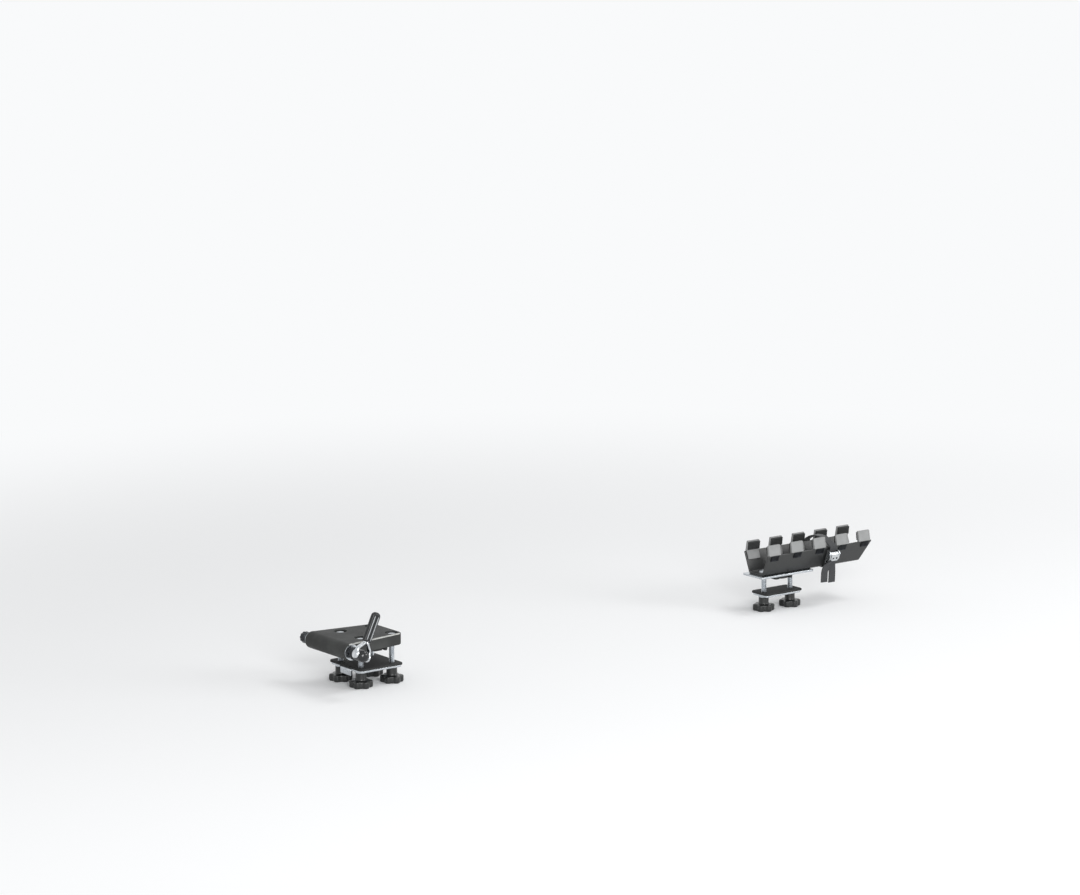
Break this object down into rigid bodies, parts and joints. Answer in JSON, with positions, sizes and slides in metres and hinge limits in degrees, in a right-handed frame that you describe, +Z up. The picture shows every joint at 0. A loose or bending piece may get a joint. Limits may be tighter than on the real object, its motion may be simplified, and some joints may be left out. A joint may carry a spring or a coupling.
{
  "type": "roof bike carrier",
  "caption": "Fork-mount roof bike carrier: a fork block with quick-release skewer on the front bar and a strapped wheel cradle on the rear bar, each clamped by hand knobs.",
  "frame": {"origin": "middle of the front unit's bar seat, on the top of the front roof bar, in the bike's mid plane", "axes": "+X along the roof bars towards the lever side, +Y to the rear, from the front bar to the rear bar, +Z up"},
  "size_m": [0.156, 0.9929, 0.1169],
  "materials": {
    "moulded_black": "fine moulded grain, satin",
    "knob_black": "moulded, satin",
    "grip_black": "moulded, ribbed",
    "coated_black": "satin powder coat on sheet steel",
    "bright_chrome": "bright plated",
    "plated_steel": "zinc plated",
    "dark_steel": "blackened",
    "brass": "machined",
    "black_rubber": "matt",
    "grey_moulded": "moulded mid grey",
    "black_webbing": "woven flat webbing"
  },
  "bodies": {
    "root": {"fork_block": "moulded_black", "axle_sleeve": "plated_steel", "barrel_end_washers": "plated_steel", "block_bolts": "bright_chrome", "front_bar_pad": "black_rubber", "front_stop_studs": "black_rubber", "trough": "coated_black", "base_plate": "plated_steel", "trough_bolts": "bright_chrome", "rear_bar_pad": "black_rubber", "rear_stop_studs": "black_rubber", "near_tab_1": "grey_moulded", "near_tab_2": "grey_moulded", "near_tab_3": "grey_moulded", "near_tab_4": "grey_moulded", "near_tab_5": "grey_moulded", "far_tab_1": "grey_moulded", "far_tab_2": "grey_moulded", "far_tab_3": "grey_moulded", "far_tab_4": "grey_moulded", "far_tab_5": "grey_moulded", "near_tab_grips": "black_rubber", "far_tab_grips": "black_rubber", "near_tab_clips": "coated_black", "far_tab_clips": "coated_black", "strap": "black_webbing", "strap_spare_end": "black_webbing", "buckle_frame": "plated_steel", "buckle_pin": "plated_steel", "buckle_spring": "plated_steel"},
    "quick_release": {"cam_head": "moulded_black", "thrust_cup": "plated_steel"},
    "skewer": {"skewer_rod": "plated_steel"},
    "cam_lever": {"cam_shaft": "plated_steel", "lever_yoke": "bright_chrome", "lever_grip": "grip_black"},
    "skewer_nut": {"skewer_nut": "dark_steel"},
    "front_clamp": {"front_clamp_plate": "plated_steel", "front_clamp_liner": "black_rubber", "front_plate_washers": "plated_steel"},
    "rear_clamp": {"rear_clamp_plate": "plated_steel", "rear_clamp_liner": "black_rubber", "rear_plate_washers": "plated_steel"},
    "buckle_lever": {"buckle_lever": "bright_chrome"},
    "front_knob_1": {"front_knob_1": "knob_black", "front_knob_insert_1": "brass"},
    "front_knob_2": {"front_knob_2": "knob_black", "front_knob_insert_2": "brass"},
    "front_knob_3": {"front_knob_3": "knob_black", "front_knob_insert_3": "brass"},
    "front_knob_4": {"front_knob_4": "knob_black", "front_knob_insert_4": "brass"},
    "rear_knob_1": {"rear_knob_1": "knob_black", "rear_knob_insert_1": "brass"},
    "rear_knob_2": {"rear_knob_2": "knob_black", "rear_knob_insert_2": "brass"}
  },
  "joints": [
    {"name": "skewer_turn", "type": "hinge", "parent": "root", "child": "quick_release", "pos_m": [0, -0.058, 0.01], "axis": [1, 0, 0], "continuous": true},
    {"name": "lever_open", "type": "hinge", "parent": "quick_release", "child": "cam_lever", "pos_m": [0.073, -0.058, 0.01], "axis": [0, 0.9063, -0.4226], "range_deg": [0, 170]},
    {"name": "rod_pull", "type": "slide", "parent": "quick_release", "child": "skewer", "axis": [-1, 0, 0], "range_m": [0, 0.0016]},
    {"name": "nut_spin", "type": "hinge", "parent": "skewer", "child": "skewer_nut", "pos_m": [-0.062, -0.058, 0.01], "axis": [-1, 0, 0], "continuous": true},
    {"name": "front_clamp_drop", "type": "slide", "parent": "root", "child": "front_clamp", "axis": [0, 0, -1], "range_m": [0, 0.0125]},
    {"name": "rear_clamp_drop", "type": "slide", "parent": "root", "child": "rear_clamp", "axis": [0, 0, -1], "range_m": [0, 0.0125]},
    {"name": "buckle_open", "type": "hinge", "parent": "root", "child": "buckle_lever", "pos_m": [0.03433, 0.8395, 0.02956], "axis": [0, -1, 0], "range_deg": [0, 75], "stiffness_Nm_per_rad": 0.02, "springref_deg": -22.92},
    {"name": "front_knob_1_spin", "type": "hinge", "parent": "front_clamp", "child": "front_knob_1", "pos_m": [-0.025, -0.026, -0.035], "axis": [0, 0, -1], "range_deg": [0, 3605]},
    {"name": "front_knob_2_spin", "type": "hinge", "parent": "front_clamp", "child": "front_knob_2", "pos_m": [0.025, -0.026, -0.035], "axis": [0, 0, -1], "range_deg": [0, 3605]},
    {"name": "front_knob_3_spin", "type": "hinge", "parent": "front_clamp", "child": "front_knob_3", "pos_m": [-0.025, 0.026, -0.035], "axis": [0, 0, -1], "range_deg": [0, 3605]},
    {"name": "front_knob_4_spin", "type": "hinge", "parent": "front_clamp", "child": "front_knob_4", "pos_m": [0.025, 0.026, -0.035], "axis": [0, 0, -1], "range_deg": [0, 3605]},
    {"name": "rear_knob_1_spin", "type": "hinge", "parent": "rear_clamp", "child": "rear_knob_1", "pos_m": [0, 0.729, -0.035], "axis": [0, 0, -1], "range_deg": [0, 3605]},
    {"name": "rear_knob_2_spin", "type": "hinge", "parent": "rear_clamp", "child": "rear_knob_2", "pos_m": [0, 0.781, -0.035], "axis": [0, 0, -1], "range_deg": [0, 3605]}
  ],
  "couplings": [
    {"joint": "rod_pull", "follows": "lever_open", "m_per_rad": 0.00050555},
    {"joint": "front_knob_1_spin", "follows": "front_clamp_drop", "rad_per_m": 5026.5},
    {"joint": "front_knob_2_spin", "follows": "front_clamp_drop", "rad_per_m": 5026.5},
    {"joint": "front_knob_3_spin", "follows": "front_clamp_drop", "rad_per_m": 5026.5},
    {"joint": "front_knob_4_spin", "follows": "front_clamp_drop", "rad_per_m": 5026.5},
    {"joint": "rear_knob_1_spin", "follows": "rear_clamp_drop", "rad_per_m": 5026.5},
    {"joint": "rear_knob_2_spin", "follows": "rear_clamp_drop", "rad_per_m": 5026.5}
  ]
}
